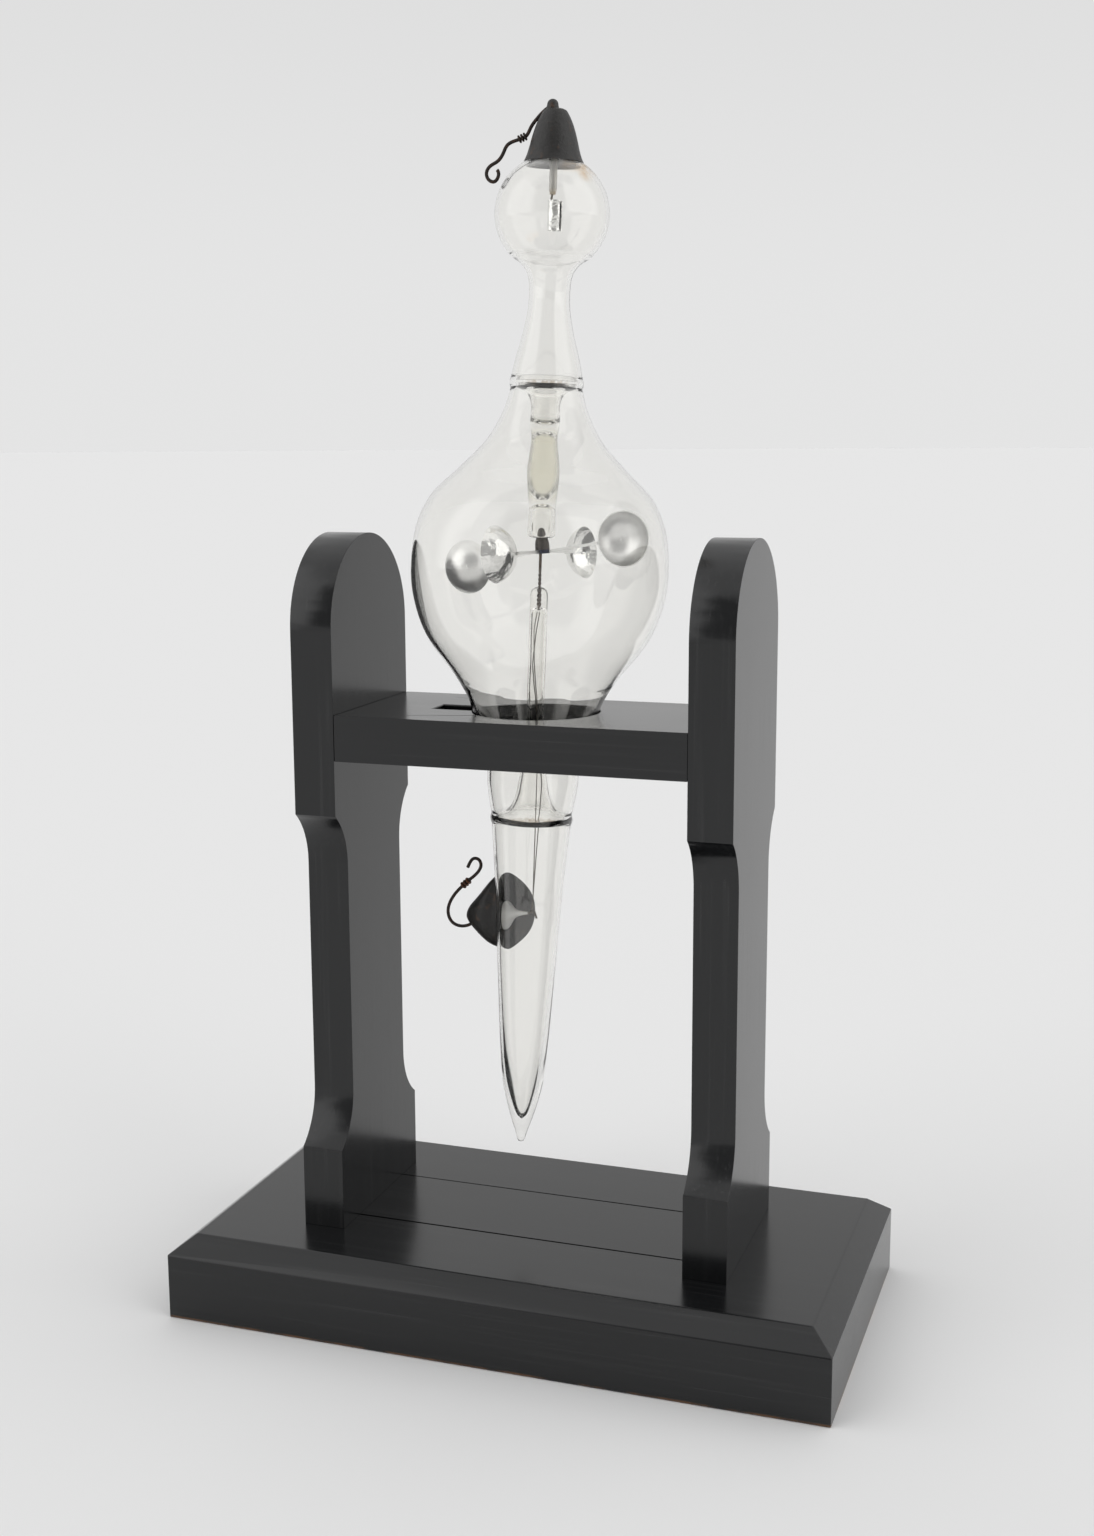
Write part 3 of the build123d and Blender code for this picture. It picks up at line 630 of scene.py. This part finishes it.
# %% [markdown]
# Metals.
# The wires are old iron, dark brown and dry, and the lower binding has rusted. The cups are thin
# rolled aluminium, still bright and pressed by hand: two of them stayed smooth and satin, and two
# are creased, so that they mirror the room in flakes. One flat colour would look like plastic, so
# each recipe mixes two shades by a fine noise, which also moves the roughness.

# %% Metals
iron_metallic, worn_metallic = 0.35, 0.9


def iron(dark, rust, rusted):
    """Oxidised iron wire with more or less rust."""
    def recipe(place):
        blotch = place.speckle(900.0, 4.0, 0.6)
        grain = place.speckle(6000.0, 2.0)
        return {
            "Base Color": (blotch.step(0.42, 0.7) * rusted).between(dark, rust),
            "Metallic": iron_metallic,
            "Roughness": 0.45 + grain * 0.3,
            "Normal": grain.relief(0.00003),
        }
    return recipe


def aluminium(roughness, crease):
    """Rolled sheet, from satin to mirror-bright, with creases so many metres deep."""
    def recipe(place):
        crinkle = place.speckle(260.0, 3.0, 0.5)
        fine = place.speckle(2500.0, 2.0)
        return {
            "Base Color": fine.step(0.5, 0.8).between(colour(0.86, 0.86, 0.85), colour(0.72, 0.71, 0.7)),
            "Metallic": 1.0,
            "Roughness": roughness + fine * 0.12,
            "Normal": crinkle.relief(crease),
        }
    return recipe


def plain_metal(shade, dull, roughness):
    """Worn metal between a clean and a dull shade."""
    def recipe(place):
        grain = place.speckle(3500.0, 3.0)
        return {
            "Base Color": grain.step(0.45, 0.7).between(shade, dull),
            "Metallic": worn_metallic,
            "Roughness": roughness + grain * 0.2,
            "Normal": grain.relief(0.00001),
        }
    return recipe


dark_iron = finish("dark_iron", iron(colour(0.02, 0.015, 0.012), colour(0.07, 0.03, 0.015), 0.6))
rusty_iron = finish("rusty_iron", iron(colour(0.07, 0.03, 0.018), colour(0.2, 0.07, 0.03), 1.0))
satin_aluminium = finish("satin_aluminium", aluminium(0.3, 0.00008))
creased_aluminium = finish("creased_aluminium", aluminium(0.12, 0.0007))

worn_shades = {
    "dark_cap": (colour(0.1, 0.09, 0.08), colour(0.04, 0.035, 0.03), 0.3),
    "blued_steel": (colour(0.04, 0.045, 0.08), colour(0.02, 0.02, 0.03), 0.3),
    "needle_steel": (colour(0.12, 0.09, 0.07), colour(0.05, 0.035, 0.025), 0.35),
    "lead_metal": (colour(0.25, 0.23, 0.2), colour(0.1, 0.09, 0.08), 0.35),
    "screw_steel": (colour(0.35, 0.34, 0.32), colour(0.2, 0.19, 0.18), 0.35),
}
worn = {name: finish(name, plain_metal(*shades)) for name, shades in worn_shades.items()}
print(4 + len(worn), "metals are mixed")

# %% [markdown]
# Wax, enamel and the milky rod.
# The wax was dabbed on hot, so its black skin is lumpy and half dull, with a little brown in it.
# The bead round the lower pin is white enamel, and the rod in the globe is a cloudy glass whose
# lower end took a pinkish yellow from the wire. Light only half enters that rod, so it keeps some
# of its own colour beside the transmission.

# %% Wax, enamel and the milky rod
rod_end = (331.5, 333.5)
rod_transmission = 0.55


def wax(place):
    lumps = place.speckle(350.0, 4.0, 0.55)
    grain = place.speckle(2600.0, 3.0)
    return {
        "Base Color": lumps.step(0.55, 0.75).between(colour(0.012, 0.011, 0.01), colour(0.06, 0.03, 0.015)),
        "Roughness": 0.32 + grain * 0.3,
        "Normal": (lumps + grain * 0.2).relief(0.0004),
    }


def enamel(place):
    cloud = place.speckle(700.0, 3.0)
    return {
        "Base Color": cloud.step(0.5, 0.8).between(colour(0.9, 0.9, 0.88), colour(0.75, 0.74, 0.7)),
        "Roughness": 0.2 + cloud * 0.15,
    }


def milky_glass(place):
    cloud = place.speckle(500.0, 3.0)
    end = 1 - (place.part("Z") / mm).step(*rod_end)
    return {
        "Base Color": (end * 0.7).between(colour(0.93, 0.92, 0.88), colour(0.9, 0.74, 0.55)),
        "Roughness": 0.25 + cloud * 0.1,
        "IOR": glass_ior,
        "Transmission Weight": rod_transmission,
    }


black_wax = finish("black_wax", wax)
white_enamel = finish("white_enamel", enamel)
milky_rod = finish("milky_rod", milky_glass)
print("wax, enamel and rod are mixed")

# %% [markdown]
# Ebonised wood.
# The boards are a close-grained wood, stained black and polished with shellac. Seen at a low angle
# the polish mirrors the white room, and seen straight on the wood is nearly black. A clear coat
# would do that too, but the main layer is smooth enough to be the polish itself. The grain is a
# noise drawn out along each board, and the base is rubbed brown where it meets the table.

# %% Ebonised wood
stain_black, grain_black = colour(0.005, 0.0054, 0.006), colour(0.018, 0.0185, 0.019)
worn_brown = colour(0.16, 0.075, 0.03)
lines_across, lines_along = 900.0, 14.0
pores_finer = 2.2
rubbed_heights = (0.2, 1.1)


def ebonised(long_way):
    """Recipe for a board whose grain runs along X, Y or Z."""
    def recipe(place):
        stretch = [lines_across] * 3
        stretch["XYZ".index(long_way)] = lines_along
        grain = (place * tuple(stretch)).speckle(1.0, 4.0, 0.6)
        pores = (place * tuple(v * pores_finer for v in stretch)).speckle(1.0, 2.0)
        cloud = place.speckle(25.0, 3.0)
        low = 1 - (place.part("Z") / mm).step(*rubbed_heights)
        rubbed = low * (place * 90.0).speckle(1.0, 3.0).step(0.35, 0.6)
        stained = grain.step(0.5, 0.78).between(stain_black, grain_black)
        return {
            "Base Color": (rubbed * 0.8).between(stained, worn_brown),
            "Roughness": 0.13 + grain * 0.1 + cloud * 0.05,
            "Normal": (grain + pores * 0.5).relief(0.000012),
            "IOR": 1.5,
        }
    return recipe


wood_along_x = finish("ebonised_wood_x", ebonised("X"))
wood_along_z = finish("ebonised_wood_z", ebonised("Z"))
print("grain lines are", round(1 / (lines_across * mm), 2), "mm apart")

# %% [markdown]
# A finish for every solid.
# Each solid that still shows gets one of the materials above. They could be set piece by piece, but
# a list by name is easier to change.

# %% Finishes
finishes = {
    "base_board": wood_along_x,
    "crossbar": wood_along_x,
    "left_upright": wood_along_z,
    "right_upright": wood_along_z,
    "base_screws": worn["screw_steel"],
    "needle": worn["needle_steel"],
    "needle_twist": worn["needle_steel"],
    "lead_wire": worn["lead_metal"],
    "seal_pin": worn["lead_metal"],
    "enamel_bead": white_enamel,
    "lower_wax": black_wax,
    "lower_terminal_wire": dark_iron,
    "lower_hook": dark_iron,
    "lower_wire_wrap": rusty_iron,
    "top_lead_wire": worn["lead_metal"],
    "top_glass_stem": milky_rod,
    "top_electrode": creased_aluminium,
    "top_wax": black_wax,
    "top_terminal_wire": dark_iron,
    "top_hook": dark_iron,
    "top_wire_wrap": dark_iron,
    "pivot_cap": worn["dark_cap"],
    "hub_collar": worn["blued_steel"],
}
cups = (1, 2, 3, 4)
creased_cups = (2, 4)
for number in cups:
    finishes[f"arm_{number}"] = satin_aluminium
    finishes[f"cup_{number}"] = creased_aluminium if number in creased_cups else satin_aluminium

for name, material in finishes.items():
    nodes[name].data.materials.clear()
    nodes[name].data.materials.append(material)

print(len(finishes), "solids have a finish")

# %% [markdown]
# Edges of the boards.
# A planed and polished board never has a razor edge. The edges could be rounded in the solids, but
# that adds many faces to something so small. The boards come in with every face apart, so their
# corners are first welded and then rounded by less than half a millimetre.

# %% Soft edges
edge_round = 0.4 * mm
weld_within = 1e-6
sharp_from = radians(25)
boards = ("base_board", "crossbar", "left_upright", "right_upright")
for name in boards:
    board = nodes[name]
    weld = board.modifiers.new("weld", "WELD")
    weld.merge_threshold = weld_within
    rounding = board.modifiers.new("rounding", "BEVEL")
    rounding.width = edge_round
    rounding.segments = 3
    rounding.limit_method = "ANGLE"
    rounding.angle_limit = sharp_from
    rounding.harden_normals = True
print(len(boards), "boards have soft edges")
